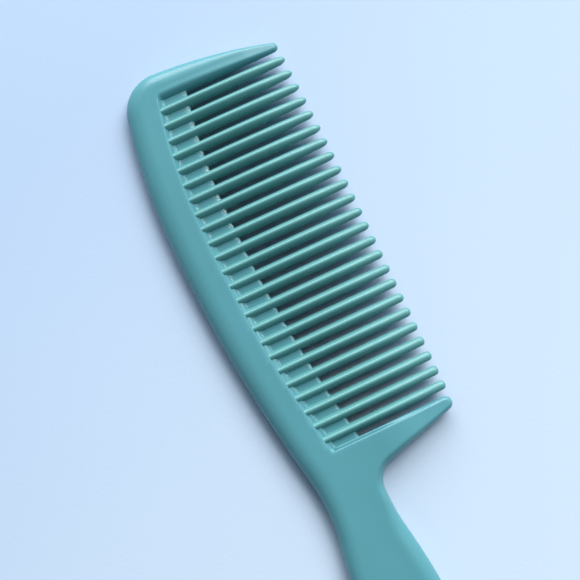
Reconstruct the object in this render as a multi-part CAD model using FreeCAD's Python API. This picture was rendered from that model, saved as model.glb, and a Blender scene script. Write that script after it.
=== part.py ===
import FreeCAD, Part

import math
import os

# One-piece moulded grooming comb with a handle: a curved back, a row of parallel teeth between two
# wide guard teeth, thin webs between the roots of the teeth, and a flat paddle handle.
#
# Millimetres. The comb lies flat with its lower face on z = 0, the handle points to +X and the teeth
# point to +Y. The origin is at the centre of the bounding box, on its bottom.
#
# Plan points are (along, rise): along runs from the front end of the comb to the end of the handle,
# and rise runs from the line of the tooth tips to the crest of the back. Heights count from the
# mid-plane, where the mould parts.

# ---- Overall sizes ----
DEPTH = 54.5                # longest tooth tips to the crest of the back
THICKNESS = 6.8             # flat face to flat face
HANDLE_LENGTH = 82.8        # neck to the end of the handle

# ---- Row of teeth ----
TOOTH_COUNT = 24            # teeth between the two guard teeth
PITCH = 4.6
FRONT_GUARD_WIDTH = 8.95    # front end to the first gap, at the root
TOOTH_WIDTH = 3.1           # at the root
TIP_WIDTH = 2.5             # at the tip, before rounding
CREST_SINK = 0.15           # how far a tooth's crest lies under the flat faces, at the root
KNEE_THICKNESS = 4.5        # where the taper changes from steep to slow
TIP_THICKNESS = 2.0
KNEE_LENGTH = 10.0          # from the tip to the knee
CREST_LENGTH = 31.0         # from the tip to where the crest runs level; a guard's does at its root
NOSE_RADIUS = 1.0           # rounding of a tip, seen from above
CREST_RADIUS = 0.9          # rounding along a tooth
TIP_FALL = 1.2              # tooth 1 stops short of the longest teeth by this
TIP_FALL_TEETH = 13         # and the tip line is straight from this many teeth on
GUARD_TIP_FALL = 0.4        # guard teeth stop short of the tooth beside them by this
FRONT_TIP_WIDTH = 2.05      # front guard tooth at the line of the tips
HEEL_TIP_WIDTH = 3.3        # heel guard tooth at the same line

# ---- Back, pocket and webs ----
BACK_WIDTH = 10.0           # outer edge of the back to the edge of the pocket
POCKET_BEVEL = 1.3          # width of the pocket's sloping wall
LEDGE_LENGTH = 7.5          # pocket's wall to where the gaps between teeth open
WEB_THICKNESS = 3.0
CREST_ALONG = 47.0          # where the back is highest
FRONT_BACK_RADIUS = 190.0
REAR_BACK_RADIUS = 395.0
CORNER_RADIUS = 11.7
GUARD_LEAN_DEG = 3.0        # lean of the front guard tooth's outer edge where it leaves the corner

# ---- Heel, neck and handle ----
HANDLE_DROP = 17.75         # crest of the back to the axis of the handle
NECK_WIDTH = 17.4
HANDLE_WIDTH = 25.0
HEEL_LENGTH = 16.25         # last gap to where the heel's fillet runs into the neck
HEEL_RADIUS = 6.5
NECK_FLAT = 2.3             # straight piece of the neck's tooth side, before it widens
NECK_FRONT_RADIUS = 50.0
NECK_BACK_RADIUS = 60.0
BELLY_TO_END = 40.0         # widest place of the handle to its end
END_RADIUS = 10.0

# ---- Edges ----
PARTING_BAND = 0.4          # half height of the upright band that the rounded outer edge leaves
OVERRUN = 10.0              # how far cutting shapes reach past what they cut
TOUCH = 1e-4                # two places closer than this are one

HALF = THICKNESS / 2
WEB_HALF = WEB_THICKNESS / 2
HALF_TOOTH = TOOTH_WIDTH / 2
RIM_RADIUS = HALF - PARTING_BAND
WALL_INSET = BACK_WIDTH + POCKET_BEVEL
GAP_INSET = WALL_INSET + LEDGE_LENGTH
FRONT_WALL = FRONT_GUARD_WIDTH                          # flank of the front guard tooth
FIRST_TOOTH_ALONG = FRONT_WALL + PITCH - HALF_TOOTH     # centre line of tooth 1
HEEL_WALL = FRONT_WALL + PITCH * (TOOTH_COUNT + 1) - TOOTH_WIDTH    # flank of the heel guard tooth
HEEL_ALONG = HEEL_WALL + HEEL_LENGTH
NECK_ALONG = HEEL_ALONG + NECK_FLAT
LENGTH = HEEL_ALONG + HANDLE_LENGTH
BELLY_ALONG = LENGTH - BELLY_TO_END
HANDLE_RISE = DEPTH - HANDLE_DROP


# ---- Plan geometry ----
def point(along, rise, height=0.0):
    return FreeCAD.Vector(along - LENGTH / 2, DEPTH / 2 - rise, HALF + height)


def line(start, end):
    return Part.makeLine(point(*start), point(*end))


def arc(start, middle, end):
    return Part.Arc(point(*start), point(*middle), point(*end)).toShape()


def on_circle(centre, radius, degrees):
    angle = math.radians(degrees)
    return centre[0] + radius * math.cos(angle), centre[1] + radius * math.sin(angle)


def circle_arc(centre, radius, first_deg, last_deg):
    middle_deg = (first_deg + last_deg) / 2
    return arc(*(on_circle(centre, radius, degrees) for degrees in (first_deg, middle_deg, last_deg)))


def bearing(start, end):
    return math.degrees(math.atan2(end[1] - start[1], end[0] - start[0]))


def back_rise(along, inset):
    """Rise of the line that runs inset inside the back's edge."""
    radius = FRONT_BACK_RADIUS if along < CREST_ALONG else REAR_BACK_RADIUS
    return DEPTH - radius + math.sqrt((radius - inset) ** 2 - (along - CREST_ALONG) ** 2)


def back_line(inset, first, last, height=0.0):
    """The line that runs inset inside the back's edge, as its front arc and its rear arc."""
    arcs = []
    for start, end in ((first, CREST_ALONG), (CREST_ALONG, last)):
        places = (start, (start + end) / 2, end)
        arcs.append(arc(*((along, back_rise(along, inset), height) for along in places)))
    return arcs


def prism(edges, bottom=-HALF, top=HALF):
    """The solid inside a closed line, from one height to another."""
    face = Part.Face(Part.Wire(Part.sortEdges(edges)[0]))
    face.translate(FreeCAD.Vector(0, 0, bottom))
    return face.extrude(FreeCAD.Vector(0, 0, top - bottom))


def block(first, last, low, high):
    """A plan rectangle, taller than the comb."""
    corners = [(first, low), (last, low), (last, high), (first, high)]
    edges = [line(corners[i - 1], corners[i]) for i in range(4)]
    return prism(edges, -HALF - OVERRUN, HALF + OVERRUN)


# ---- Outer edge, from the front guard tooth round the back and the handle to the heel ----
def widening(neck_along, radius, neck_width):
    """From the neck to the belly by two arcs: the turn of each, and the radius of the second."""
    run = BELLY_ALONG - neck_along
    turn = 2 * math.degrees(math.atan2((HANDLE_WIDTH - neck_width) / 2, run))
    return turn, run / math.sin(math.radians(turn)) - radius


front_back_centre = (CREST_ALONG, DEPTH - FRONT_BACK_RADIUS)
rear_back_centre = (CREST_ALONG, DEPTH - REAR_BACK_RADIUS)
corner_reach = FRONT_BACK_RADIUS - CORNER_RADIUS
corner_rise = front_back_centre[1] + math.sqrt(corner_reach ** 2 - (CREST_ALONG - CORNER_RADIUS) ** 2)
corner_centre = (CORNER_RADIUS, corner_rise)
corner_exit_deg = bearing(front_back_centre, corner_centre)
corner_exit = on_circle(corner_centre, CORNER_RADIUS, corner_exit_deg)

# The front guard's edge leaves the corner at its lean and passes the line of the tips at its width.
guard_start_deg = 180 + GUARD_LEAN_DEG
guard_start = on_circle(corner_centre, CORNER_RADIUS, guard_start_deg)
guard_run = (FRONT_WALL - FRONT_TIP_WIDTH - guard_start[0], -guard_start[1])
lean = math.radians(GUARD_LEAN_DEG)
guard_sag = guard_run[0] * math.cos(lean) + guard_run[1] * math.sin(lean)
guard_radius = (guard_run[0] ** 2 + guard_run[1] ** 2) / (2 * guard_sag)
guard_centre = on_circle(guard_start, -guard_radius, guard_start_deg)
guard_end_deg = 180 + math.degrees(math.asin((guard_centre[1] + OVERRUN) / guard_radius))
guard_end = on_circle(guard_centre, guard_radius, guard_end_deg)

neck_back_rise = HANDLE_RISE + NECK_WIDTH / 2 + NECK_BACK_RADIUS
neck_reach = REAR_BACK_RADIUS + NECK_BACK_RADIUS
neck_back_along = CREST_ALONG + math.sqrt(neck_reach ** 2 - (neck_back_rise - rear_back_centre[1]) ** 2)
neck_back_centre = (neck_back_along, neck_back_rise)
neck_back_deg = bearing(neck_back_centre, rear_back_centre)
neck_back_entry = on_circle(neck_back_centre, NECK_BACK_RADIUS, neck_back_deg)
back_turn, back_belly_radius = widening(neck_back_along, NECK_BACK_RADIUS, NECK_WIDTH)
back_belly_centre = (BELLY_ALONG, HANDLE_RISE + HANDLE_WIDTH / 2 - back_belly_radius)

end_centre = (LENGTH - END_RADIUS, HANDLE_RISE)
end_run = end_centre[0] - BELLY_ALONG
tail_radius = (end_run ** 2 + (HANDLE_WIDTH / 2) ** 2 - END_RADIUS ** 2) / (HANDLE_WIDTH - 2 * END_RADIUS)
tail_offset = HANDLE_WIDTH / 2 - tail_radius
tail_deg = bearing((BELLY_ALONG, tail_offset), (end_centre[0], 0.0))

neck_front_rise = HANDLE_RISE - NECK_WIDTH / 2
front_turn, front_belly_radius = widening(NECK_ALONG, NECK_FRONT_RADIUS, NECK_WIDTH)
front_belly_centre = (BELLY_ALONG, HANDLE_RISE - HANDLE_WIDTH / 2 + front_belly_radius)
neck_front_centre = (NECK_ALONG, neck_front_rise - NECK_FRONT_RADIUS)
heel_centre = (HEEL_ALONG, neck_front_rise - HEEL_RADIUS)

# The heel guard's edge touches the heel's fillet and passes the line of the tips at its width.
heel_tip_corner = (HEEL_WALL + HEEL_TIP_WIDTH, 0.0)
heel_distance = math.dist(heel_tip_corner, heel_centre)
heel_edge_deg = bearing(heel_tip_corner, heel_centre) + math.degrees(math.asin(HEEL_RADIUS / heel_distance))
heel_root = on_circle(heel_centre, HEEL_RADIUS, heel_edge_deg + 90)
heel_lean = math.radians(90 - heel_edge_deg)
heel_end = (heel_root[0] - (heel_root[1] + OVERRUN) * math.tan(heel_lean), -OVERRUN)

outer_edge = [
    circle_arc(guard_centre, guard_radius, guard_end_deg, guard_start_deg),
    circle_arc(corner_centre, CORNER_RADIUS, guard_start_deg, corner_exit_deg),
    *back_line(0.0, corner_exit[0], neck_back_entry[0]),
    circle_arc(neck_back_centre, NECK_BACK_RADIUS, neck_back_deg, back_turn - 90),
    circle_arc(back_belly_centre, back_belly_radius, 90 + back_turn, 90),
    circle_arc((BELLY_ALONG, HANDLE_RISE + tail_offset), tail_radius, 90, tail_deg),
    circle_arc(end_centre, END_RADIUS, tail_deg, -tail_deg),
    circle_arc((BELLY_ALONG, HANDLE_RISE - tail_offset), tail_radius, -tail_deg, -90),
    circle_arc(front_belly_centre, front_belly_radius, -90, -90 - front_turn),
    circle_arc(neck_front_centre, NECK_FRONT_RADIUS, 90 - front_turn, 90),
    line((NECK_ALONG, neck_front_rise), (HEEL_ALONG, neck_front_rise)),
    circle_arc(heel_centre, HEEL_RADIUS, 90, heel_edge_deg + 90),
    line(heel_root, heel_end),
]


# ---- Teeth ----
def fall(number):
    """How far the tip of a tooth stops short of the longest teeth."""
    return TIP_FALL * max(0.0, (TIP_FALL_TEETH - number) / (TIP_FALL_TEETH - 1)) ** 2


def side_profile(tip_rise, level_rise, thickness):
    """A tooth's shape seen from the front end, thin at the tip and full from a level rise on."""
    knee = (tip_rise + KNEE_LENGTH, KNEE_THICKNESS / 2)
    level = (level_rise, thickness / 2)
    drop = level[1] - knee[1]
    radius = ((level[0] - knee[0]) ** 2 + drop ** 2) / (2 * drop)
    middle_rise = (knee[0] + level[0]) / 2
    middle = (middle_rise, level[1] - radius + math.sqrt(radius ** 2 - (level[0] - middle_rise) ** 2))
    tip = (tip_rise, TIP_THICKNESS / 2)
    root = (DEPTH, level[1])
    edges = []
    for side in (1, -1):
        tip_at, knee_at, middle_at, level_at, root_at = (
            point(0.0, rise, side * height) for rise, height in (tip, knee, middle, level, root)
        )
        edges.append(Part.makeLine(tip_at, knee_at))
        edges.append(Part.Arc(knee_at, middle_at, level_at).toShape())
        edges.append(Part.makeLine(level_at, root_at))
    for rise, height in (tip, root):
        edges.append(Part.makeLine(point(0.0, rise, height), point(0.0, rise, -height)))
    face = Part.Face(Part.Wire(Part.sortEdges(edges)[0]))
    return face.extrude(FreeCAD.Vector(LENGTH, 0, 0))


def spans(edge, axis):
    """How far an edge reaches along one axis."""
    box = edge.BoundBox
    return {"x": box.XLength, "y": box.YLength, "z": box.ZLength}[axis]


def round_tooth(blank, tip_rise, level_rise, thickness):
    """Rounds the nose of an upright-walled tooth, tapers it to its side profile and rounds its crests."""
    tip_y = point(0.0, tip_rise).y
    nose = [
        edge for edge in blank.Edges
        if spans(edge, "z") > WEB_THICKNESS and abs(edge.CenterOfMass.y - tip_y) < TOUCH
    ]
    tapered = blank.makeFillet(NOSE_RADIUS, nose).common(side_profile(tip_rise, level_rise, thickness))
    root_y = min(vertex.Y for vertex in tapered.Vertexes)
    crests = [
        edge for edge in tapered.Edges
        if edge.BoundBox.YMax > root_y + TOUCH
        and (spans(edge, "x") > TOUCH or spans(edge, "y") > TOUCH)
        and (spans(edge, "y") > TOUCH or abs(edge.CenterOfMass.y - tip_y) < TOUCH)
    ]
    return tapered.makeFillet(CREST_RADIUS, crests)


def tooth(number):
    along = FIRST_TOOTH_ALONG + PITCH * (number - 1)
    tip_rise = fall(number)
    gap_rise = back_rise(along, GAP_INSET)
    sunk_rise = back_rise(along, BACK_WIDTH / 2)
    half_tip = TIP_WIDTH / 2
    plan = [
        (along - half_tip, tip_rise),
        (along + half_tip, tip_rise),
        (along + HALF_TOOTH, gap_rise),
        (along + HALF_TOOTH, sunk_rise),
        (along - HALF_TOOTH, sunk_rise),
        (along - HALF_TOOTH, gap_rise),
    ]
    blank = prism([line(plan[i - 1], plan[i]) for i in range(len(plan))])
    return round_tooth(blank, tip_rise, tip_rise + CREST_LENGTH, THICKNESS - 2 * CREST_SINK)


# ---- Room for the teeth: the gaps, and the pocket on each face ----
def room_edge(inset, height=0.0):
    """The closed line round the room, up to a line inside the back's edge."""
    crest_line = back_line(inset, FRONT_WALL, HEEL_WALL, height)
    corners = [
        crest_line[1].lastVertex(True).Point,
        point(HEEL_WALL, -OVERRUN, height),
        point(FRONT_WALL, -OVERRUN, height),
        crest_line[0].firstVertex(True).Point,
    ]
    return crest_line + [Part.makeLine(corners[i], corners[i + 1]) for i in range(3)]


def pocket(side):
    """The pocket on one face. Its wall slopes from the web's face out to the flat face and beyond."""
    insets = (WALL_INSET, BACK_WIDTH - POCKET_BEVEL)
    heights = (WEB_HALF, POCKET_TOP)
    wires = [Part.Wire(room_edge(inset, side * height)) for inset, height in zip(insets, heights)]
    return Part.makeLoft(wires, True, True)


POCKET_TOP = 2 * HALF - WEB_HALF
room = prism(room_edge(WALL_INSET), -POCKET_TOP, POCKET_TOP).fuse([pocket(1), pocket(-1)]).removeSplitter()

# ---- Body: back, guard teeth and handle in one, split into its members below ----
closing_line = line(heel_end, guard_end)
plate = prism(outer_edge + [closing_line])
rim = [
    edge for edge in plate.Edges
    if spans(edge, "z") < TOUCH and abs(edge.CenterOfMass.y - closing_line.CenterOfMass.y) > TOUCH
]
body = plate.makeFillet(RIM_RADIUS, rim).cut(room)

front_root = back_rise(FRONT_WALL, WALL_INSET)
front_region = block(-OVERRUN, FRONT_WALL + HALF_TOOTH, -2 * OVERRUN, front_root)
heel_region = block(HEEL_WALL - HALF_TOOTH, heel_root[0] + HALF_TOOTH, -2 * OVERRUN, heel_root[1])
handle_region = block(HEEL_ALONG, LENGTH + OVERRUN, -OVERRUN, DEPTH + OVERRUN)


def guard_tooth(region, root_rise, neighbour):
    """A guard tooth: part of the body, with its end rounded and tapered like the other teeth."""
    tip_rise = fall(neighbour) + GUARD_TIP_FALL
    blank = plate.cut(room).common(region).common(block(-OVERRUN, LENGTH, tip_rise, root_rise))
    return body.common(region).common(round_tooth(blank, tip_rise, root_rise, THICKNESS))


members = {
    "spine": body.cut([front_region, heel_region, handle_region]),
    "handle": body.common(handle_region),
    "front_guard_tooth": guard_tooth(front_region, front_root, 1),
    "heel_guard_tooth": guard_tooth(heel_region, heel_root[1], TOOTH_COUNT),
}
teeth = [tooth(number).common(room) for number in range(1, TOOTH_COUNT + 1)]
for number, shape in enumerate(teeth, start=1):
    members[f"tooth_{number:02d}"] = shape

# ---- Webs: thin floors between the roots of the teeth ----
gap_line = back_line(GAP_INSET, FRONT_WALL, HEEL_WALL)
sunk_line = back_line(BACK_WIDTH, FRONT_WALL, HEEL_WALL)
web_sides = [
    Part.makeLine(gap_line[0].firstVertex(True).Point, sunk_line[0].firstVertex(True).Point),
    Part.makeLine(gap_line[1].lastVertex(True).Point, sunk_line[1].lastVertex(True).Point),
]
web_band = prism(gap_line + sunk_line + web_sides, -WEB_HALF, WEB_HALF).common(room)
members["root_web"] = web_band.cut(teeth)

os.makedirs("parts", exist_ok=True)
for name, shape in members.items():
    print(name, shape.isValid(), len(shape.Solids), round(shape.Volume, 2))
    shape.exportStep(f"parts/{name}.step")
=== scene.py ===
import math

import bmesh
import bpy
import numpy as np
from mathutils import Euler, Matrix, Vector
from mathutils.geometry import delaunay_2d_cdt


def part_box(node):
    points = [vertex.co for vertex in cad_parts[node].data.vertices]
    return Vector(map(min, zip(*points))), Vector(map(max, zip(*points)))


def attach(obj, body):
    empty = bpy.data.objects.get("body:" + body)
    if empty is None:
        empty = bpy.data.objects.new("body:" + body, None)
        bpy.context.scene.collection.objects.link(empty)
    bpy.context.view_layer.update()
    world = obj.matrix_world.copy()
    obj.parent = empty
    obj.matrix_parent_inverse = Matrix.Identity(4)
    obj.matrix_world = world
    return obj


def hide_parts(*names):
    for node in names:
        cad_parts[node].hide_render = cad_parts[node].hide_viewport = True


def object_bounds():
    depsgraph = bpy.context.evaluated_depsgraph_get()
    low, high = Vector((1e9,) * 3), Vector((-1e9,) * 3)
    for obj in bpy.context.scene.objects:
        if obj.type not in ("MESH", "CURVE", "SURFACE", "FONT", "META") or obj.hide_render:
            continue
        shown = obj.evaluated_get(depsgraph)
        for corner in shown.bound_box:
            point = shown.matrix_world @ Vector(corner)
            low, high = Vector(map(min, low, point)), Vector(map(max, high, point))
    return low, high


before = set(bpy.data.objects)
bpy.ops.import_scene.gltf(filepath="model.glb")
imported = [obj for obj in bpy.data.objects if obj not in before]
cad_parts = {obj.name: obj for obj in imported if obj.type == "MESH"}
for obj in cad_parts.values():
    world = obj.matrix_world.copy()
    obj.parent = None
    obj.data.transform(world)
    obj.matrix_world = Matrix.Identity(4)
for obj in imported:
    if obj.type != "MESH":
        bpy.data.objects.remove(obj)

MM = 0.001
cad_low, cad_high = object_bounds()

# ---- Table, daylight and camera ------------------------------------------------------------
# The comb lies on a smooth white board by two windows. The daylight comes from beyond the comb's
# free end, on the side of the teeth, and the white room fills the shadows with a bluish light.

TABLE_SIZE = 6.0
TABLE_SUNK = 0.02 * MM
# Board colours for a painted light falloff: dimmer far from the handle, lighter near it.
TABLE_FAR_PAINTED_DIM = (0.449, 0.570, 0.748, 1.0)
TABLE_NEAR_PAINTED_LIT = (0.637, 0.740, 0.844, 1.0)


def node(tree, kind, **values):
    """A shader node with its properties and its unlinked inputs set by name."""
    made = tree.nodes.new(kind)
    for name, value in values.items():
        if hasattr(made, name):
            setattr(made, name, value)
        else:
            made.inputs[name.replace("_", " ")].default_value = value
    return made


bpy.ops.mesh.primitive_plane_add(size=TABLE_SIZE, location=(0, 0, -TABLE_SUNK))
table = bpy.context.object
table.name = "table_top"
paper = bpy.data.materials.new("white_board")
paper.use_nodes = True
tree = paper.node_tree
board = tree.nodes["Principled BSDF"]
board.inputs["Roughness"].default_value = 0.75
board.inputs["Specular IOR Level"].default_value = 0.25
where = node(tree, "ShaderNodeTexCoord")
cloud = node(tree, "ShaderNodeTexNoise", Scale=5.0, Detail=2.0)
tree.links.new(where.outputs["Object"], cloud.inputs["Vector"])
# The board's colour is painted light: lighter toward the handle end and darker toward the far end, a painted
# falloff of the daylight, broken by a faint mottle.
toward_handle = node(tree, "ShaderNodeVectorMath", operation="DOT_PRODUCT")
toward_handle.inputs[1].default_value = (0.94, 0.34, 0.0)
tree.links.new(where.outputs["Object"], toward_handle.inputs[0])
painted_light_ramp = node(tree, "ShaderNodeMapRange", From_Min=-0.12, From_Max=0.12, To_Min=-0.1, To_Max=0.9)
tree.links.new(toward_handle.outputs["Value"], painted_light_ramp.inputs["Value"])
mottle_and_painted_light = node(tree, "ShaderNodeMath", operation="MULTIPLY_ADD", use_clamp=True)
mottle_and_painted_light.inputs[1].default_value = 0.2
tree.links.new(cloud.outputs["Fac"], mottle_and_painted_light.inputs[0])
tree.links.new(painted_light_ramp.outputs["Result"], mottle_and_painted_light.inputs[2])
shade = node(tree, "ShaderNodeMix", data_type="RGBA")
shade.inputs["A"].default_value = TABLE_FAR_PAINTED_DIM
shade.inputs["B"].default_value = TABLE_NEAR_PAINTED_LIT
tree.links.new(mottle_and_painted_light.outputs["Value"], shade.inputs["Factor"])
tree.links.new(shade.outputs["Result"], board.inputs["Base Color"])
fibre = node(tree, "ShaderNodeTexNoise", Scale=900.0, Detail=3.0)
tree.links.new(where.outputs["Object"], fibre.inputs["Vector"])
fibre_bump = node(tree, "ShaderNodeBump", Strength=0.25, Distance=0.1 * MM)
tree.links.new(fibre.outputs["Fac"], fibre_bump.inputs["Height"])
tree.links.new(fibre_bump.outputs["Normal"], board.inputs["Normal"])
table.data.materials.append(paper)


def window(name, azimuth, elevation, distance, size, power, colour):
    """A soft square light that looks at the middle of the comb."""
    lamp = bpy.data.lights.new(name, "AREA")
    lamp.shape = "SQUARE"
    lamp.size = size
    lamp.energy = power
    lamp.color = colour
    turn, tilt = math.radians(azimuth), math.radians(elevation)
    way = Vector((math.cos(turn) * math.cos(tilt), math.sin(turn) * math.cos(tilt), math.sin(tilt)))
    holder = bpy.data.objects.new(name, lamp)
    holder.location = way * distance
    holder.rotation_euler = (-way).to_track_quat("-Z", "Y").to_euler()
    bpy.context.scene.collection.objects.link(holder)


window("window_light", 130, 43, 2.4, 1.6, 65.0, (1.0, 1.0, 1.0))
window("low_window_light", 170, 27, 2.4, 1.4, 42.0, (0.98, 1.0, 1.02))

room = bpy.data.worlds.new("white_room")
room.use_nodes = True
walls = room.node_tree.nodes["Background"]
walls.inputs["Color"].default_value = (0.74, 0.97, 1.15, 1.0)
links = room.node_tree.links
direction = node(room.node_tree, "ShaderNodeTexCoord")
split = node(room.node_tree, "ShaderNodeSeparateXYZ")
links.new(direction.outputs["Generated"], split.inputs["Vector"])
dim_ceiling = node(
    room.node_tree, "ShaderNodeMapRange", From_Min=0.25, From_Max=0.80, To_Min=0.55, To_Max=0.16,
)
links.new(split.outputs["Z"], dim_ceiling.inputs["Value"])
toward_window = node(room.node_tree, "ShaderNodeVectorMath", operation="DOT_PRODUCT")
toward_window.inputs[1].default_value = (-0.85, 0.52, 0.0)
links.new(direction.outputs["Generated"], toward_window.inputs[0])
dim_far_side = node(room.node_tree, "ShaderNodeMapRange", From_Min=-1.0, To_Min=0.16, To_Max=1.5)
links.new(toward_window.outputs["Value"], dim_far_side.inputs["Value"])
glow = node(room.node_tree, "ShaderNodeMath", operation="MULTIPLY")
links.new(dim_ceiling.outputs["Result"], glow.inputs[0])
links.new(dim_far_side.outputs["Result"], glow.inputs[1])
links.new(glow.outputs["Value"], walls.inputs["Strength"])
bpy.context.scene.world = room
bpy.context.scene.view_settings.view_transform = "Standard"

lens = bpy.data.cameras.new("camera")
lens.sensor_width = 36.0
lens.lens = 62.07
camera = bpy.data.objects.new("camera", lens)
camera.location = Vector((-4.87, -11.47, 289.16)) * MM
camera.rotation_euler = Euler([math.radians(angle) for angle in (6.300, 0.716, 65.098)])
bpy.context.scene.collection.objects.link(camera)
bpy.context.scene.camera = camera

# ---- Comb plastic --------------------------------------------------------------------------
# One shot of teal-green plastic, dyed through and moulded semi-matte, with an uneven sheen from
# handling, fine grain and hairline scuffs that run three ways.

COMB_GREEN = (0.092, 0.298, 0.338)
THIN_GREEN = (0.110, 0.325, 0.322)
DYE_THIN = 0.90
DYE_THICK = 1.12
SCUFFED_GREEN = (0.26, 0.52, 0.52, 1.0)
SCUFF_STRENGTH = 0.10
# Pale colour on the webs: partly flash gone pale, partly painted highlight at the lip and the wall's foot.
PALE_FLASH_AND_GLINT_GREEN = (0.58, 0.80, 0.80, 1.0)


def socket(group, name, kind, way, value=None):
    made = group.interface.new_socket(name=name, in_out=way, socket_type=kind)
    if value is not None:
        made.default_value = value


def scuff_group():
    """Hairline scuffs that run about one way: a mask of thin, broken lines."""
    group = bpy.data.node_groups.new("hairline_scuffs", "ShaderNodeTree")
    socket(group, "Angle", "NodeSocketFloat", "INPUT", 0.0)
    socket(group, "Spacing", "NodeSocketFloat", "INPUT", 300.0)
    socket(group, "Amount", "NodeSocketFloat", "INPUT", 0.5)
    socket(group, "Mask", "NodeSocketFloat", "OUTPUT")
    inside, outside = group.nodes.new("NodeGroupInput"), group.nodes.new("NodeGroupOutput")
    place_on = node(group, "ShaderNodeTexCoord")
    turn = node(group, "ShaderNodeVectorRotate", rotation_type="Z_AXIS")
    group.links.new(place_on.outputs["Object"], turn.inputs["Vector"])
    group.links.new(inside.outputs["Angle"], turn.inputs["Angle"])
    stretch = node(group, "ShaderNodeVectorMath", operation="MULTIPLY")
    stretch.inputs[1].default_value = (0.035, 1.0, 1.0)
    group.links.new(turn.outputs["Vector"], stretch.inputs[0])
    lines = node(group, "ShaderNodeTexNoise", Detail=1.0, Roughness=0.5)
    group.links.new(stretch.outputs["Vector"], lines.inputs["Vector"])
    group.links.new(inside.outputs["Spacing"], lines.inputs["Scale"])
    ridge = node(group, "ShaderNodeMath", operation="SUBTRACT")
    ridge.inputs[1].default_value = 0.5
    group.links.new(lines.outputs["Fac"], ridge.inputs[0])
    away = node(group, "ShaderNodeMath", operation="ABSOLUTE")
    group.links.new(ridge.outputs["Value"], away.inputs[0])
    thin = node(group, "ShaderNodeMapRange", clamp=True, From_Max=0.012, To_Min=1.0, To_Max=0.0)
    group.links.new(away.outputs["Value"], thin.inputs["Value"])
    breaks = node(group, "ShaderNodeTexNoise", Scale=95.0, Detail=2.0)
    group.links.new(place_on.outputs["Object"], breaks.inputs["Vector"])
    least = node(group, "ShaderNodeMath", operation="SUBTRACT")
    least.inputs[0].default_value = 0.86
    group.links.new(inside.outputs["Amount"], least.inputs[1])
    keep = node(group, "ShaderNodeMapRange", clamp=True, From_Max=0.75)
    group.links.new(least.outputs["Value"], keep.inputs["From Min"])
    group.links.new(breaks.outputs["Fac"], keep.inputs["Value"])
    both = node(group, "ShaderNodeMath", operation="MULTIPLY")
    group.links.new(thin.outputs["Result"], both.inputs[0])
    group.links.new(keep.outputs["Result"], both.inputs[1])
    group.links.new(both.outputs["Value"], outside.inputs["Mask"])
    return group


scuffs = scuff_group()


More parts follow.
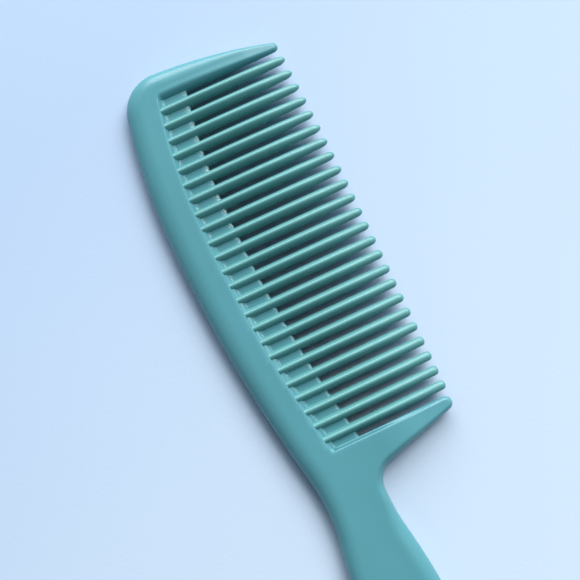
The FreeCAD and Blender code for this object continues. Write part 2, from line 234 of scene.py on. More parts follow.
def comb_plastic(name, green, whitened_and_glinting=False):
    """The comb's plastic. Where it is whitened, a mesh attribute says where flash has gone pale and where a
    pale highlight is painted.
    """
    plastic = bpy.data.materials.new(name)
    plastic.use_nodes = True
    tree = plastic.node_tree
    shader = tree.nodes["Principled BSDF"]
    shader.inputs["IOR"].default_value = 1.49
    shader.inputs["Specular IOR Level"].default_value = 0.45
    place_on = node(tree, "ShaderNodeTexCoord")

    # Dye that isn't mixed quite evenly, in soft clouds along the flow of the melt.
    flow = node(tree, "ShaderNodeVectorMath", operation="MULTIPLY")
    flow.inputs[1].default_value = (0.45, 1.0, 1.0)
    tree.links.new(place_on.outputs["Object"], flow.inputs[0])
    clouds = node(tree, "ShaderNodeTexNoise", Scale=48.0, Detail=4.0, Roughness=0.55)
    tree.links.new(flow.outputs["Vector"], clouds.inputs["Vector"])
    dye = node(tree, "ShaderNodeMix", data_type="RGBA")
    dye.inputs["A"].default_value = [channel * DYE_THIN for channel in green] + [1.0]
    dye.inputs["B"].default_value = [channel * DYE_THICK for channel in green] + [1.0]
    tree.links.new(clouds.outputs["Fac"], dye.inputs["Factor"])
    colour = dye.outputs["Result"]

    # Scuffs in three directions catch the light: paler, rougher and cut a little into the skin.
    mask = None
    for angle, spacing, amount in ((0.35, 620.0, 0.34), (1.9, 560.0, 0.28), (2.7, 720.0, 0.24)):
        hairs = node(
            tree, "ShaderNodeGroup", node_tree=scuffs, Angle=angle, Spacing=spacing, Amount=amount,
        )
        if mask is None:
            mask = hairs.outputs["Mask"]
            continue
        most = node(tree, "ShaderNodeMath", operation="MAXIMUM")
        tree.links.new(mask, most.inputs[0])
        tree.links.new(hairs.outputs["Mask"], most.inputs[1])
        mask = most.outputs["Value"]
    scuffed = node(tree, "ShaderNodeMix", data_type="RGBA")
    scuffed.inputs["B"].default_value = SCUFFED_GREEN
    fade = node(tree, "ShaderNodeMath", operation="MULTIPLY")
    fade.inputs[1].default_value = SCUFF_STRENGTH
    tree.links.new(mask, fade.inputs[0])
    tree.links.new(fade.outputs["Value"], scuffed.inputs["Factor"])
    tree.links.new(colour, scuffed.inputs["A"])
    colour = scuffed.outputs["Result"]

    # Pale specks where the attribute says so: partly flash gone pale, partly painted highlight.
    if whitened_and_glinting:
        pale = node(tree, "ShaderNodeAttribute", attribute_name="pale_flash_and_glint")
        crumbs = node(tree, "ShaderNodeTexNoise", Scale=1900.0, Detail=3.0, Roughness=0.7)
        tree.links.new(place_on.outputs["Object"], crumbs.inputs["Vector"])
        crumbly = node(tree, "ShaderNodeMapRange", clamp=True, From_Min=0.44, From_Max=0.58)
        tree.links.new(crumbs.outputs["Fac"], crumbly.inputs["Value"])
        patch = node(tree, "ShaderNodeMath", operation="MULTIPLY")
        tree.links.new(pale.outputs["Fac"], patch.inputs[0])
        tree.links.new(crumbly.outputs["Result"], patch.inputs[1])
        whitening_and_glint = node(tree, "ShaderNodeMix", data_type="RGBA")
        whitening_and_glint.inputs["B"].default_value = PALE_FLASH_AND_GLINT_GREEN
        tree.links.new(patch.outputs["Value"], whitening_and_glint.inputs["Factor"])
        tree.links.new(colour, whitening_and_glint.inputs["A"])
        colour = whitening_and_glint.outputs["Result"]
    tree.links.new(colour, shader.inputs["Base Color"])

    # The sheen varies with handling; scuffs and fine grain roughen it.
    handling = node(tree, "ShaderNodeTexNoise", Scale=70.0, Detail=3.0)
    tree.links.new(place_on.outputs["Object"], handling.inputs["Vector"])
    sheen = node(tree, "ShaderNodeMapRange", From_Min=0.3, From_Max=0.7, To_Min=0.25, To_Max=0.32)
    tree.links.new(handling.outputs["Fac"], sheen.inputs["Value"])
    rougher = node(tree, "ShaderNodeMath", operation="MULTIPLY_ADD", use_clamp=True)
    rougher.inputs[1].default_value = 0.18
    tree.links.new(mask, rougher.inputs[0])
    tree.links.new(sheen.outputs["Result"], rougher.inputs[2])
    tree.links.new(rougher.outputs["Value"], shader.inputs["Roughness"])

    # Skin: slow waves left by shrinkage, an orange-peel grain, and the scuffs' cuts.
    waves = node(tree, "ShaderNodeTexNoise", Scale=130.0, Detail=1.0)
    tree.links.new(place_on.outputs["Object"], waves.inputs["Vector"])
    wave_bump = node(tree, "ShaderNodeBump", Strength=0.35, Distance=0.05 * MM)
    tree.links.new(waves.outputs["Fac"], wave_bump.inputs["Height"])
    grain = node(tree, "ShaderNodeTexNoise", Scale=1600.0, Detail=2.0)
    tree.links.new(place_on.outputs["Object"], grain.inputs["Vector"])
    grain_bump = node(tree, "ShaderNodeBump", Strength=0.30, Distance=0.012 * MM)
    tree.links.new(grain.outputs["Fac"], grain_bump.inputs["Height"])
    tree.links.new(wave_bump.outputs["Normal"], grain_bump.inputs["Normal"])
    scuff_bump = node(tree, "ShaderNodeBump", invert=True, Strength=0.5, Distance=0.01 * MM)
    tree.links.new(mask, scuff_bump.inputs["Height"])
    tree.links.new(grain_bump.outputs["Normal"], scuff_bump.inputs["Normal"])
    skin = scuff_bump.outputs["Normal"]
    if whitened_and_glinting:
        flash_bump = node(tree, "ShaderNodeBump", Strength=0.9, Distance=0.12 * MM)
        tree.links.new(patch.outputs["Value"], flash_bump.inputs["Height"])
        tree.links.new(skin, flash_bump.inputs["Normal"])
        skin = flash_bump.outputs["Normal"]
    tree.links.new(skin, shader.inputs["Normal"])
    return plastic


body_plastic = comb_plastic("comb_plastic", COMB_GREEN)

# ---- Back, guard teeth and handle ------------------------------------------------------------
# The frame of the comb is one continuous skin: a curved back that rolls over to its outer edge, a
# wide guard tooth at each end of the row and a flat paddle handle. The two mould halves met at
# mid-height, where they left a hairline parting ridge.

LENGTH = cad_high.x - cad_low.x
DEPTH = cad_high.y - cad_low.y
THICKNESS = cad_high.z - cad_low.z
HALF = THICKNESS / 2

TOOTH_COUNT = sum(name.startswith("tooth_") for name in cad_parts)
tooth_boxes = [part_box(f"tooth_{number:02d}") for number in range(1, TOOTH_COUNT + 1)]
HALF_TOOTH = (tooth_boxes[0][1].x - tooth_boxes[0][0].x) / 2
first_centre = (tooth_boxes[0][0].x + tooth_boxes[0][1].x) / 2
last_centre = (tooth_boxes[-1][0].x + tooth_boxes[-1][1].x) / 2
PITCH = (last_centre - first_centre) / (TOOTH_COUNT - 1)
FIRST_ALONG = first_centre - cad_low.x
FRONT_WALL = FIRST_ALONG - PITCH + HALF_TOOTH
HEEL_WALL = last_centre - cad_low.x + PITCH - HALF_TOOTH

BACK_WIDTH = 10.0 * MM
POCKET_BEVEL = 1.3 * MM
WALL_INSET = BACK_WIDTH + POCKET_BEVEL
CREST_ALONG = 47.0 * MM
FRONT_BACK_RADIUS = 190.0 * MM
REAR_BACK_RADIUS = 395.0 * MM
CORNER_RADIUS = 11.7 * MM
GUARD_LEAN = math.radians(3.0)
FRONT_TIP_WIDTH = 2.05 * MM
HEEL_TIP_WIDTH = 3.3 * MM
HEEL_RADIUS = 6.5 * MM
NECK_FLAT = 2.3 * MM
NECK_WIDTH = 17.4 * MM
NECK_FRONT_RADIUS = 50.0 * MM
NECK_BACK_RADIUS = 60.0 * MM
BELLY_TO_END = 40.0 * MM
END_RADIUS = 10.0 * MM
POCKET_CORNER = 0.3 * MM
PARTING_RIDGE = 0.05 * MM
RIDGE_HALF = 0.05 * MM
RIDGE_FOOT = 0.11 * MM
FLANK_TREAD = 0.95 * MM
FLANK_DROP = 0.25 * MM
POCKET_DROP = 0.95 * MM
STEP_EDGE = 0.28 * MM
RISER_FOOT = 0.2
WALL_FOOT = 1.35 * MM
WALL_EDGE = 0.22 * MM

handle_low, handle_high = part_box("handle")
HANDLE_WIDTH = handle_high.y - handle_low.y
HANDLE_RISE = cad_high.y - (handle_low.y + handle_high.y) / 2
HEEL_ALONG = handle_low.x - cad_low.x
NECK_ALONG = HEEL_ALONG + NECK_FLAT
BELLY_ALONG = LENGTH - BELLY_TO_END
front_tip = cad_high.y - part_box("front_guard_tooth")[1].y
heel_tip = cad_high.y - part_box("heel_guard_tooth")[1].y


def in_row(along, rise, height):
    """From a plan place and a height over the mid-plane to the row frame."""
    return cad_low.x + along, cad_high.y - rise, cad_low.z + HALF + height


def back_rise(along, inset):
    radius = FRONT_BACK_RADIUS if along < CREST_ALONG else REAR_BACK_RADIUS
    return DEPTH - radius + math.sqrt((radius - inset) ** 2 - (along - CREST_ALONG) ** 2)


def smooth(amount):
    """0 below 0, 1 above 1, and an easy curve between."""
    amount = np.clip(amount, 0.0, 1.0)
    return amount * amount * (3 - 2 * amount)


def polar(centre, radius, angle):
    return centre[0] + radius * math.cos(angle), centre[1] + radius * math.sin(angle)


def bearing(start, end):
    return math.atan2(end[1] - start[1], end[0] - start[0])


class Outline:
    """Places round the edge of the frame, each with its inward way and the profile of its rim."""

    def __init__(self):
        self.places, self.inward, self.profiles, self.marks = [], [], [], {}

    def mark(self, name):
        self.marks[name] = len(self.places)

    def add(self, place, inward, profile):
        self.places.append(place)
        self.inward.append(inward)
        self.profiles.append(profile)

    def arc(self, centre, radius, first, last, profiles, hollow=False, step=0.9 * MM, least=3, count=0):
        """Steps along an arc, its last place left to what follows. profiles gives one at 0 to 1."""
        count = count or max(least, math.ceil(abs(last - first) * radius / step))
        for index in range(count):
            share = index / count
            angle = first + (last - first) * share
            turn = 1 if hollow else -1
            inward = (turn * math.cos(angle), turn * math.sin(angle))
            self.add(polar(centre, radius, angle), inward, profiles(share))

    def line(self, start, end, inward, profiles, step=0.9 * MM, least=2, count=0):
        """Steps along a straight edge, its last place left to what follows."""
        count = count or max(least, math.ceil(math.dist(start, end) / step))
        for index in range(count):
            share = index / count
            place = tuple(a + (b - a) * share for a, b in zip(start, end))
            self.add(place, inward, profiles(share))


RINGS = 15
EDGE_RINGS = 6


def rolled(width, fullness=2.0):
    """A rim that rolls over like a quarter of an oval, from the parting ridge to the flat face."""
    angle = np.linspace(0, math.pi / 2, RINGS - 2)
    reach = width * (1 - np.cos(angle) ** (2 / fullness))
    height = HALF * np.sin(angle) ** (2 / fullness)
    height[0] = RIDGE_FOOT
    ridge = [(-PARTING_RIDGE, 0.0), (-PARTING_RIDGE, RIDGE_HALF)]
    return np.array(ridge + list(zip(reach, height)))


def bevelled(width, foot, edge):
    """A wall that stands to its foot's height, slopes in by its width, and rounds on to the face."""
    slope = math.hypot(width, HALF - foot)
    inward, upward = edge * width / slope, edge * (HALF - foot) / slope
    cove, brink = (inward, foot + upward), (width - inward, HALF - upward)
    points = [(0.0, 0.0), (0.0, 0.5 * foot), (0.0, 0.85 * foot)]
    points += [(0.05 * inward, foot), (0.4 * inward, foot + 0.3 * upward), cove]
    for share in np.linspace(0, 1, RINGS - EDGE_RINGS - len(points) + 2)[1:-1]:
        points.append(tuple(a + (b - a) * share for a, b in zip(cove, brink)))
    corner, end = (width, HALF), (width + edge, HALF)
    for t in np.linspace(0, 1, EDGE_RINGS):
        points.append(tuple(
            (1 - t) ** 2 * a + 2 * t * (1 - t) * b + t * t * c for a, b, c in zip(brink, corner, end)
        ))
    return np.array(points)


def stepped(width, drop, edge):
    """An upright wall to a narrow tread, sunk by the drop, with a rounded riser on to the face."""
    tread = HALF - drop
    points = [(0.0, 0.0), (0.0, 0.4 * tread), (0.0, 0.8 * tread)]
    for angle in np.linspace(0, math.pi / 2, 5):
        points.append((edge * (1 - math.cos(angle)), tread - edge * (1 - math.sin(angle))))
    points += [((edge + width) / 2, tread), (width - 0.3 * edge, tread)]
    for angle in np.linspace(0, math.pi / 2, RINGS - len(points)):
        risen = RISER_FOOT + (1 - RISER_FOOT) * math.sin(angle)
        points.append((width + edge * (1 - math.cos(angle)), tread + drop * risen))
    return np.array(points)


def between(first, last):
    """Profiles that turn smoothly from one to another."""
    return lambda share: first + (last - first) * float(smooth(share))


def steady(profile):
    """The same profile all the way."""
    return lambda share: profile


# The curves of the outline, from the same few radii as the comb's design.
front_back_centre = (CREST_ALONG, DEPTH - FRONT_BACK_RADIUS)
rear_back_centre = (CREST_ALONG, DEPTH - REAR_BACK_RADIUS)
corner_reach = FRONT_BACK_RADIUS - CORNER_RADIUS
corner_rise = front_back_centre[1] + math.sqrt(corner_reach ** 2 - (CREST_ALONG - CORNER_RADIUS) ** 2)
corner_centre = (CORNER_RADIUS, corner_rise)
corner_exit = bearing(front_back_centre, corner_centre)
guard_start = polar(corner_centre, CORNER_RADIUS, math.pi + GUARD_LEAN)
guard_run = (FRONT_WALL - FRONT_TIP_WIDTH - guard_start[0], -guard_start[1])
guard_sag = guard_run[0] * math.cos(GUARD_LEAN) + guard_run[1] * math.sin(GUARD_LEAN)
guard_radius = (guard_run[0] ** 2 + guard_run[1] ** 2) / (2 * guard_sag)
guard_centre = polar(guard_start, -guard_radius, math.pi + GUARD_LEAN)
neck_back_rise = HANDLE_RISE + NECK_WIDTH / 2 + NECK_BACK_RADIUS
neck_reach = REAR_BACK_RADIUS + NECK_BACK_RADIUS
neck_back_along = CREST_ALONG + math.sqrt(neck_reach ** 2 - (neck_back_rise - rear_back_centre[1]) ** 2)
neck_back_centre = (neck_back_along, neck_back_rise)
neck_back_entry = bearing(rear_back_centre, neck_back_centre)
neck_front_rise = HANDLE_RISE - NECK_WIDTH / 2
heel_centre = (HEEL_ALONG, neck_front_rise - HEEL_RADIUS)
heel_tip_corner = (HEEL_WALL + HEEL_TIP_WIDTH, 0.0)
heel_edge = bearing(heel_tip_corner, heel_centre)
heel_edge += math.asin(HEEL_RADIUS / math.dist(heel_tip_corner, heel_centre))
heel_root = polar(heel_centre, HEEL_RADIUS, heel_edge + math.pi / 2)


def widening(neck_along, radius):
    """From the neck to the belly by two arcs: the turn of each, and the radius of the second."""
    run = BELLY_ALONG - neck_along
    turn = 2 * math.atan2((HANDLE_WIDTH - NECK_WIDTH) / 2, run)
    return turn, run / math.sin(turn) - radius


back_turn, back_belly_radius = widening(neck_back_along, NECK_BACK_RADIUS)
belly_turn, front_belly_radius = widening(NECK_ALONG, NECK_FRONT_RADIUS)
end_run = LENGTH - END_RADIUS - BELLY_ALONG
tail_radius = (end_run ** 2 + (HANDLE_WIDTH / 2) ** 2 - END_RADIUS ** 2) / (HANDLE_WIDTH - 2 * END_RADIUS)
tail_offset = HANDLE_WIDTH / 2 - tail_radius
tail_angle = math.atan2(-tail_offset, end_run)


SMALLEST_NOSE = 0.3 * MM
LARGEST_NOSE = 4.0 * MM
NOSE_HALVINGS = 40


def nose_radius(wall, side, tip, edge_distance):
    """The circle at a guard's tip that touches its straight flank, its outer edge and its tip line."""
    small, large = SMALLEST_NOSE, LARGEST_NOSE
    for _ in range(NOSE_HALVINGS):
        radius = (small + large) / 2
        if edge_distance((wall + side * radius, tip + radius)) > radius:
            small = radius
        else:
            large = radius
    return radius


def from_front_edge(place):
    return guard_radius - math.dist(place, guard_centre)


def from_heel_edge(place):
    run = (place[0] - heel_tip_corner[0], place[1] - heel_tip_corner[1])
    return run[1] * math.cos(heel_edge) - run[0] * math.sin(heel_edge)


front_nose = nose_radius(FRONT_WALL, -1, front_tip, from_front_edge)
front_nose_centre = (FRONT_WALL - front_nose, front_tip + front_nose)
heel_nose = nose_radius(HEEL_WALL, 1, heel_tip, from_heel_edge)
heel_nose_centre = (HEEL_WALL + heel_nose, heel_tip + heel_nose)

nose_rim = rolled(1.15 * MM)
guard_rim = rolled(4.7 * MM)
corner_rim = rolled(5.2 * MM)
back_rim = rolled(5.6 * MM)
neck_rim = rolled(5.0 * MM)
handle_rim = rolled(4.4 * MM, 2.1)
heel_rim = rolled(2.2 * MM)
heel_flank = stepped(FLANK_TREAD, FLANK_DROP, STEP_EDGE)
pocket_step = stepped(POCKET_BEVEL, POCKET_DROP, STEP_EDGE)
pocket_wall = bevelled(POCKET_BEVEL, WALL_FOOT, WALL_EDGE)
front_flank = rolled(2.2 * MM)

GUARD_STEPS = 44
HEEL_STEPS = 32
NOSE_STEPS = 16
POCKET_STEPS = 150

outline = Outline()
guard_nose_exit = bearing(guard_centre, front_nose_centre) % (2 * math.pi)
guard_root = math.pi + GUARD_LEAN
outline.mark("front_outer")
outline.arc(
    guard_centre, guard_radius, guard_nose_exit, guard_root, between(nose_rim, guard_rim), count=GUARD_STEPS,
)
outline.mark("corner")
outline.arc(corner_centre, CORNER_RADIUS, guard_root, corner_exit, between(guard_rim, corner_rim))
outline.arc(front_back_centre, FRONT_BACK_RADIUS, corner_exit, math.pi / 2, between(corner_rim, back_rim))
outline.arc(rear_back_centre, REAR_BACK_RADIUS, math.pi / 2, neck_back_entry, between(back_rim, neck_rim))
outline.arc(
    neck_back_centre, NECK_BACK_RADIUS, neck_back_entry - math.pi, back_turn - math.pi / 2,
    between(neck_rim, handle_rim), hollow=True,
)
back_belly = (BELLY_ALONG, HANDLE_RISE + HANDLE_WIDTH / 2 - back_belly_radius)
back_tail, front_tail = ((BELLY_ALONG, HANDLE_RISE + side * tail_offset) for side in (1, -1))
handle_end = (LENGTH - END_RADIUS, HANDLE_RISE)
front_belly = (BELLY_ALONG, HANDLE_RISE - HANDLE_WIDTH / 2 + front_belly_radius)
grip = steady(handle_rim)
outline.arc(back_belly, back_belly_radius, math.pi / 2 + back_turn, math.pi / 2, grip)
outline.arc(back_tail, tail_radius, math.pi / 2, tail_angle, grip)
outline.arc(handle_end, END_RADIUS, tail_angle, -tail_angle, grip, step=0.6 * MM)
outline.arc(front_tail, tail_radius, -tail_angle, -math.pi / 2, grip)
outline.arc(front_belly, front_belly_radius, -math.pi / 2, -math.pi / 2 - belly_turn, grip)
outline.arc(
    (NECK_ALONG, neck_front_rise - NECK_FRONT_RADIUS), NECK_FRONT_RADIUS,
    math.pi / 2 - belly_turn, math.pi / 2, between(handle_rim, heel_rim), hollow=True,
)
outline.line((NECK_ALONG, neck_front_rise), (HEEL_ALONG, neck_front_rise), (0, 1), steady(heel_rim))
outline.arc(
    heel_centre, HEEL_RADIUS, math.pi / 2, heel_edge + math.pi / 2, steady(heel_rim),
    hollow=True, step=0.5 * MM,
)

heel_nose_exit = polar(heel_nose_centre, heel_nose, heel_edge - math.pi / 2)
heel_inward = (-math.sin(heel_edge), math.cos(heel_edge))
outline.mark("heel_outer")
outline.line(heel_root, heel_nose_exit, heel_inward, between(heel_rim, nose_rim), count=HEEL_STEPS)
outline.mark("heel_nose")
outline.arc(
    heel_nose_centre, heel_nose, heel_edge - math.pi / 2, -math.pi, steady(nose_rim), count=NOSE_STEPS,
)
outline.mark("heel_inner")
heel_flank_end = (HEEL_WALL, heel_root[1])
outline.line(
    (HEEL_WALL, heel_nose_centre[1]), heel_flank_end, (1, 0), between(nose_rim, heel_flank), count=HEEL_STEPS,
)
outline.add(heel_flank_end, (1, 0), heel_flank)

pocket_first, pocket_last = HEEL_WALL - POCKET_CORNER, FRONT_WALL + POCKET_CORNER
heel_corner = (pocket_first, back_rise(pocket_first, WALL_INSET + POCKET_CORNER))
front_corner = (pocket_last, back_rise(pocket_last, WALL_INSET + POCKET_CORNER))
past_flank = (HEEL_WALL, heel_root[1] + 0.9 * MM)
outline.line(past_flank, (HEEL_WALL, heel_corner[1]), (1, 0), steady(heel_flank))
heel_turn = bearing(rear_back_centre, heel_corner)
outline.arc(
    heel_corner, POCKET_CORNER, 0.0, heel_turn, between(heel_flank, pocket_step), hollow=True, least=10,
)
for index in range(POCKET_STEPS + 1):
    share = index / POCKET_STEPS
    along = pocket_first + (pocket_last - pocket_first) * share
    rise = back_rise(along, WALL_INSET)
    centre = front_back_centre if along < CREST_ALONG else rear_back_centre
    angle = bearing(centre, (along, rise))
    outline.add((along, rise), (math.cos(angle), math.sin(angle)), between(pocket_step, pocket_wall)(share))
front_turn = bearing(front_back_centre, front_corner)
outline.arc(
    front_corner, POCKET_CORNER, front_turn, math.pi, between(pocket_wall, front_flank),
    hollow=True, least=12,
)

outline.mark("front_inner")
outline.line(
    (FRONT_WALL, front_corner[1]), (FRONT_WALL, front_nose_centre[1]), (-1, 0),
    between(front_flank, nose_rim), count=GUARD_STEPS,
)
outline.arc(
    front_nose_centre, front_nose, 0.0, guard_nose_exit - 2 * math.pi, steady(nose_rim), count=NOSE_STEPS,
)

KNEE_LENGTH = 10.0 * MM
KNEE_HALF = 2.25 * MM
TIP_HALF = 1.0 * MM
NEAR_WALL = 1.0 * MM


def half_thickness(from_tip, level_length, full):
    """Half the thickness of a tooth: a quick taper to the knee, then a slow curve to the full size."""
    drop = full - KNEE_HALF
    radius = ((level_length - KNEE_LENGTH) ** 2 + drop ** 2) / (2 * drop)
    if from_tip >= level_length:
        return full
    if from_tip >= KNEE_LENGTH:
        return full - radius + math.sqrt(radius ** 2 - (level_length - from_tip) ** 2)
    return TIP_HALF + (KNEE_HALF - TIP_HALF) * max(from_tip, 0.0) / KNEE_LENGTH


def frame_half(along, rise):
    """Half the frame's thickness at a plan place: full, but for the tapering guard teeth."""
    if rise < front_corner[1] and along < FRONT_WALL + NEAR_WALL:
        return half_thickness(rise - front_tip, front_corner[1] - front_tip, HALF)
    if rise < heel_root[1]:
        return half_thickness(rise - heel_tip, heel_root[1] - heel_tip, HALF)
    return HALF


def mesh_piece(name, vertices, faces, material):
    """A smooth closed piece of the comb from its corners and faces, riding on the comb."""
    mesh = bpy.data.meshes.new(name)
    mesh.from_pydata([tuple(v) for v in vertices], [], faces)
    work = bmesh.new()
    work.from_mesh(mesh)
    bmesh.ops.remove_doubles(work, verts=work.verts, dist=1e-7)
    bmesh.ops.recalc_face_normals(work, faces=work.faces)
    work.to_mesh(mesh)
    work.free()
    mesh.shade_smooth()
    mesh.materials.append(material)
    piece = bpy.data.objects.new(name, mesh)
    bpy.context.scene.collection.objects.link(piece)
    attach(piece, "root")
    return piece


GUARD_DISH = 0.07 * MM
DISH_ALONG = 5.2 * MM
DISH_SLANT = 0.35
DISH_WIDTH = 0.9 * MM
DISH_RUN = 5.0 * MM
DISH_FROM = 6.0 * MM
DISH_GROWTH = 14.0 * MM
FACE_WAVE = 0.05 * MM
WAVE_ALONG = 7.0 * MM
WAVE_RISE = 5.0 * MM


def sink(along, rise):
    """How far the face has shrunk in: a dish past the front guard's root, and very slow waves."""
    past = rise - front_corner[1]
    across = (along - DISH_ALONG - DISH_SLANT * past) / DISH_WIDTH
    dish = GUARD_DISH * math.exp(-across ** 2) * (1 - float(smooth(past / DISH_RUN)))
    wave = math.sin(along / WAVE_ALONG) * math.sin(rise / WAVE_RISE)
    return dish + FACE_WAVE * (1 + wave) / 2


LATTICE = 1.1 * MM
LATTICE_START = 1.0 * MM
CLEAR_OF_RIM = 0.6 * LATTICE
SINK_RUN = 2.0 * MM
STRIP = 8


def fill_flat(vertices, faces, loop, seam):
    """Triangles over the flat face, on a lattice of places that sink a little into it."""
    edge = np.array([vertices[index][:2] for index in loop])
    lattice = []
    for row, rise in enumerate(np.arange(LATTICE_START, DEPTH, LATTICE)):
        for along in np.arange((row % 2) * LATTICE / 2, LENGTH, LATTICE):
            lattice.append((along, rise))
    lattice = np.array(lattice)
    following = np.roll(edge, -1, axis=0)
    inside = np.zeros(len(lattice), bool)
    for (x0, y0), (x1, y1) in zip(edge, following):
        crosses = (y0 > lattice[:, 1]) != (y1 > lattice[:, 1])
        reach = x0 + (lattice[:, 1] - y0) * (x1 - x0) / (y1 - y0 if y1 != y0 else 1.0)
        inside ^= crosses & (lattice[:, 0] < reach)
    lattice = lattice[inside]
    gaps = np.hypot(*(lattice[:, None] - edge[None]).transpose(2, 0, 1))
    keep = np.min(gaps, axis=1) > CLEAR_OF_RIM
    at_rim = np.array([index not in seam for index in loop])
    lattice, nearest = lattice[keep], np.min(gaps[keep][:, at_rim], axis=1)
    places = [Vector(place) for place in edge] + [Vector(place) for place in lattice]
    net = delaunay_2d_cdt(places, [], [list(range(len(edge)))], 1, 1e-9)
    numbers = list(loop)
    for (along, rise), gap in zip(lattice, nearest):
        height = HALF - sink(along, rise) * float(smooth(gap / SINK_RUN))
        numbers.append(len(vertices))
        vertices.append((along, rise, height))
    assert len(net[0]) == len(places)
    for face in net[2]:
        faces.append(tuple(numbers[index] for index in face))


def both_halves(vertices, faces):
    """The skin of the upper mould half and its mirror below, in the row frame."""
    count = len(vertices)
    upper = [in_row(*vertex) for vertex in vertices]
    lower = [in_row(along, rise, -height) for along, rise, height in vertices]
    return upper + lower, faces + [tuple(index + count for index in face) for face in faces]


def frame_skin():
    """Both mould halves of the frame: rims ring by ring, guards in strips, and the flat faces."""
    stations = len(outline.places)
    vertices = []
    for place, inward, profile in zip(outline.places, outline.inward, outline.profiles):
        for reach, height in profile:
            along, rise = place[0] + inward[0] * reach, place[1] + inward[1] * reach
            vertices.append((along, rise, height * frame_half(along, rise) / HALF))

    def at(station, ring):
        return (station % stations) * RINGS + ring

    faces = []
    for station in range(stations):
        for ring in range(RINGS - 1):
            near, far = at(station, ring), at(station + 1, ring)
            faces.append((near, far, far + 1, near + 1))

    def strip(first, second, dish):
        """Faces between two rows of rim ends that run side by side, sunk a little between them."""
        rows = []
        for one, other in zip(first, second):
            row = [at(one, RINGS - 1)]
            start, end = vertices[at(one, RINGS - 1)], vertices[at(other, RINGS - 1)]
            for share in np.linspace(0, 1, STRIP + 1)[1:-1]:
                along, rise = (a + (b - a) * share for a, b in zip(start[:2], end[:2]))
                growth = float(smooth((rise - DISH_FROM) / DISH_GROWTH))
                depth = dish * math.sin(math.pi * share) ** 2 * growth
                row.append(len(vertices))
                vertices.append((along, rise, frame_half(along, rise) - depth))
            row.append(at(other, RINGS - 1))
            rows.append(row)
        for row, following in zip(rows, rows[1:]):
            for index in range(STRIP):
                faces.append((row[index], row[index + 1], following[index + 1], following[index]))
        return rows

    marks = outline.marks
    outer = [marks["front_outer"] + index for index in range(GUARD_STEPS + 1)]
    inner = [marks["front_inner"] + GUARD_STEPS - index for index in range(GUARD_STEPS + 1)]
    front_rows = strip(outer, inner, GUARD_DISH / 2)
    outer = [marks["heel_outer"] + HEEL_STEPS - index for index in range(HEEL_STEPS + 1)]
    inner = [marks["heel_inner"] + index for index in range(HEEL_STEPS + 1)]
    heel_rows = strip(outer, inner, 0.0)
    front_cap = [at(marks["front_inner"] + GUARD_STEPS + index, RINGS - 1) for index in range(NOSE_STEPS + 1)]
    heel_cap = [at(marks["heel_nose"] + index, RINGS - 1) for index in range(NOSE_STEPS + 1)]
    faces.append(tuple(front_cap + front_rows[0][1:-1]))
    faces.append(tuple(heel_cap + heel_rows[0][-2:0:-1]))
    flat = [at(station, RINGS - 1) for station in range(marks["corner"], marks["heel_outer"] + 1)]
    flat += heel_rows[-1][1:-1]
    last_inner = marks["heel_inner"] + HEEL_STEPS
    flat += [at(station, RINGS - 1) for station in range(last_inner, marks["front_inner"] + 1)]
    flat += front_rows[-1][-2:0:-1]
    fill_flat(vertices, faces, flat, set(front_rows[-1][1:-1] + heel_rows[-1][1:-1]))
    return both_halves(vertices, faces)


comb_frame = mesh_piece("comb_frame", *frame_skin(), body_plastic)
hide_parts("spine", "handle", "front_guard_tooth", "heel_guard_tooth")

# ---- Webs between the tooth roots ------------------------------------------------------------
# Thin floors left at the bottom of the pocket between the teeth. They end in a rounded lip where the gaps
# open, and there the mould let a little flash through that has gone pale and crumbly. Their pale specks, at
# the lip and at the foot of the pocket's wall, are partly that flash and partly painted highlight.

LEDGE_LENGTH = 7.5 * MM
GAP_INSET = WALL_INSET + LEDGE_LENGTH
web_low, web_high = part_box("root_web")
WEB_HALF = (web_high.z - web_low.z) / 2
WEB_SUNK = 0.5 * MM
COVE = 0.35 * MM
LIP_ROUND = 0.8 * MM
LIP_RAGGED = 0.10 * MM
BURR = 0.14 * MM
WORST_ALONG = 38.0 * MM
WORST_SPREAD = 24.0 * MM
LIP_RINGS = 8
FLOOR_FROM, FLOOR_TO, FLOOR_RINGS = 0.16, 0.93, 14
COVE_FIRST, COVE_LAST, COVE_RINGS = 0.2, 1.3, 5
COLUMNS = 400
LIP_BAND = 1.1 * MM
LIP_LEAST = 0.25
FOOT_BAND = 0.55 * MM
FOOT_PALE = 0.4
CELL_LEAST, CELL_RANGE = 0.4, 0.9

web_random = np.random.default_rng(7)
cell_shares = web_random.uniform(0.25, 1.0, TOOTH_COUNT + 1)


def bell(distance, width):
    return math.exp(-(distance / width) ** 2)


def flash_and_glint_at(place):
    """How pale the plastic is, as flash and painted highlight: at the lip, most of all near the front, and in
    specks at the wall.
    """
    along, rise = place[0] - cad_low.x, cad_high.y - place[1]
    inset = back_rise(along, 0.0) - rise
    cell = min(max(int((along - FRONT_WALL) / PITCH), 0), TOOTH_COUNT)
    worst = LIP_LEAST + (1 - LIP_LEAST) * bell(along - WORST_ALONG, WORST_SPREAD)
    lip = bell(GAP_INSET - inset, LIP_BAND) * worst
    foot = bell(inset - WALL_INSET, FOOT_BAND) * FOOT_PALE
    return min(1.0, (lip + foot) * (CELL_LEAST + CELL_RANGE * cell_shares[cell]))


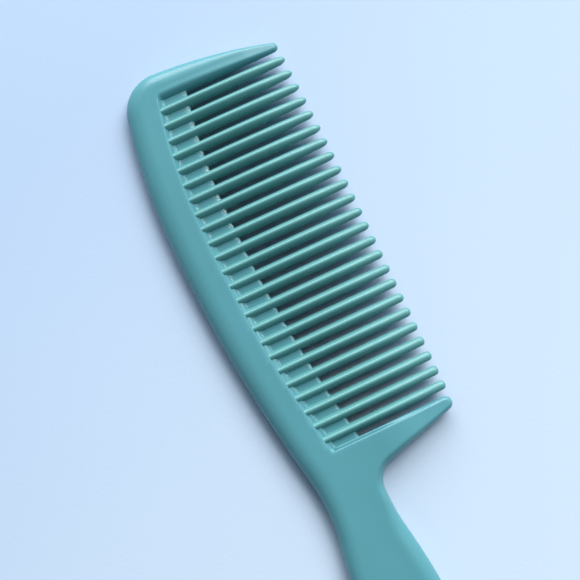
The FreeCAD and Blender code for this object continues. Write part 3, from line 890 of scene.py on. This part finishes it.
def web_skin():
    """A strip from guard to guard, across from its lip to a cove under the pocket's wall."""
    first, last = FRONT_WALL - WEB_SUNK, HEEL_WALL + WEB_SUNK
    across = []
    for angle in np.linspace(0, math.pi / 2, LIP_RINGS):
        across.append((LIP_ROUND * (1 - math.cos(angle)), WEB_HALF * math.sin(angle)))
    for share in np.linspace(FLOOR_FROM, FLOOR_TO, FLOOR_RINGS):
        across.append((LEDGE_LENGTH * share, WEB_HALF))
    for angle in np.linspace(COVE_FIRST, COVE_LAST, COVE_RINGS):
        across.append((LEDGE_LENGTH - COVE * (1 - math.sin(angle)), WEB_HALF + COVE * (1 - math.cos(angle))))
    across.append((LEDGE_LENGTH + WEB_SUNK, WEB_HALF + COVE))
    rough = np.convolve(web_random.normal(0, 1, COLUMNS + 1), [0.25, 0.5, 0.25], "same")
    vertices = []
    for column in range(COLUMNS + 1):
        along = first + (last - first) * column / COLUMNS
        for reach, height in across:
            inset = GAP_INSET - reach + LIP_RAGGED * rough[column] * bell(reach, LIP_ROUND)
            burr = BURR * max(0.0, rough[column]) * bell(reach - 0.75 * LIP_ROUND, 0.5 * MM)
            vertices.append((along, back_rise(along, inset), height + burr))
    rows = len(across)
    faces = []
    for column in range(COLUMNS):
        for row in range(rows - 1):
            start = column * rows + row
            faces.append((start, start + 1, start + rows + 1, start + rows))
    count = len(vertices)
    skin, both = both_halves(vertices, faces)
    for column in range(COLUMNS):
        start = column * rows + rows - 1
        both.append((start, start + rows, start + rows + count, start + count))
    for end in (0, COLUMNS):
        start = end * rows
        ring = list(range(start, start + rows))
        both.append(tuple(ring + [index + count for index in reversed(ring)]))
    return skin, both


web_vertices, web_faces = web_skin()
web_plastic = comb_plastic("web_plastic", COMB_GREEN, whitened_and_glinting=True)
root_web = mesh_piece("root_webs", web_vertices, web_faces, web_plastic)
pale = root_web.data.attributes.new("pale_flash_and_glint", "FLOAT", "POINT")
pale.data.foreach_set("value", [flash_and_glint_at(vertex.co) for vertex in root_web.data.vertices])
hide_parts("root_web")

# ---- Teeth -----------------------------------------------------------------------------------
# The teeth are solid ribs of the same plastic, a little greener because they are thin. Each is an
# oval bar that rises out of the pocket's floor, thins towards its tip and ends in a round nose.

TIP_HALF_WIDTH = (1.28 * MM, 1.38 * MM)
CREST_SINK = 0.15 * MM
CREST_LENGTH = 31.0 * MM
NOSE = (2.5 * MM, 1.35 * MM)
NOSE_FULLNESS = (2.1, 2.4)
ROOT_SUNK = 1.2 * MM
WIDENING_LENGTH = 12.0 * MM
LEAN = 0.04 * MM
LIFT = 0.03 * MM
TIP_ANGLE = 0.12
NOSE_RINGS = 9
RIB_RINGS = 60
NOSE_DEPTH = 0.8
ROOT_SPARENESS = 0.1
AROUND = 36

tooth_plastic = comb_plastic("tooth_plastic", THIN_GREEN)
tooth_random = np.random.default_rng(11)


def tooth_skin(number):
    """Oval rings from the nose to the root; tips are sharper at the front than at the heel."""
    toward_heel = float(smooth((number - 1) / (TOOTH_COUNT - 1)))
    tip_half, nose, nose_fullness = (
        front + (heel - front) * toward_heel for front, heel in (TIP_HALF_WIDTH, NOSE, NOSE_FULLNESS))
    low_corner, high_corner = tooth_boxes[number - 1]
    centre = (low_corner.x + high_corner.x) / 2 - cad_low.x
    tip = cad_high.y - high_corner.y
    root = back_rise(centre, BACK_WIDTH - ROOT_SUNK)
    lean, lift = tooth_random.normal(0, LEAN), tooth_random.normal(0, LIFT)
    steps = [nose * (1 - math.cos(a)) for a in np.linspace(TIP_ANGLE, math.pi / 2, NOSE_RINGS)]
    steps += list(np.linspace(nose, root - tip, RIB_RINGS)[1:])
    full = HALF - CREST_SINK
    rings = []
    for from_tip in steps:
        thickness = half_thickness(from_tip, CREST_LENGTH, full)
        spread = float(smooth(from_tip / WIDENING_LENGTH))
        width = tip_half + (HALF_TOOTH - tip_half) * spread
        if from_tip < nose:
            shrink = (1 - (1 - from_tip / nose) ** nose_fullness) ** (1 / nose_fullness)
            width *= shrink
            thickness *= shrink ** NOSE_DEPTH
        fullness = 2.0 - ROOT_SPARENESS * spread
        free = (1 - min(1.0, from_tip / (root - tip))) ** 2
        ring = []
        for index in range(AROUND):
            angle = 2 * math.pi * (index + 0.5) / AROUND
            cosine, sine = math.cos(angle), math.sin(angle)
            away = math.copysign(abs(cosine) ** (2 / fullness), cosine) * width
            height = math.copysign(abs(sine) ** (2 / fullness), sine) * thickness
            ring.append((centre + away + lean * free, tip + from_tip, height + lift * free))
        rings.append(ring)
    vertices = [in_row(*corner) for ring in rings for corner in ring]
    faces = []
    for step in range(len(rings) - 1):
        for index in range(AROUND):
            near, far = step * AROUND + index, step * AROUND + (index + 1) % AROUND
            faces.append((near, far, far + AROUND, near + AROUND))
    faces.append(tuple(range(AROUND)))
    faces.append(tuple(range(len(vertices) - AROUND, len(vertices))))
    return vertices, faces


for number in range(1, TOOTH_COUNT + 1):
    name = f"tooth_{number:02d}"
    rib = mesh_piece(f"{name}_rib", *tooth_skin(number), tooth_plastic)
    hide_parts(name)
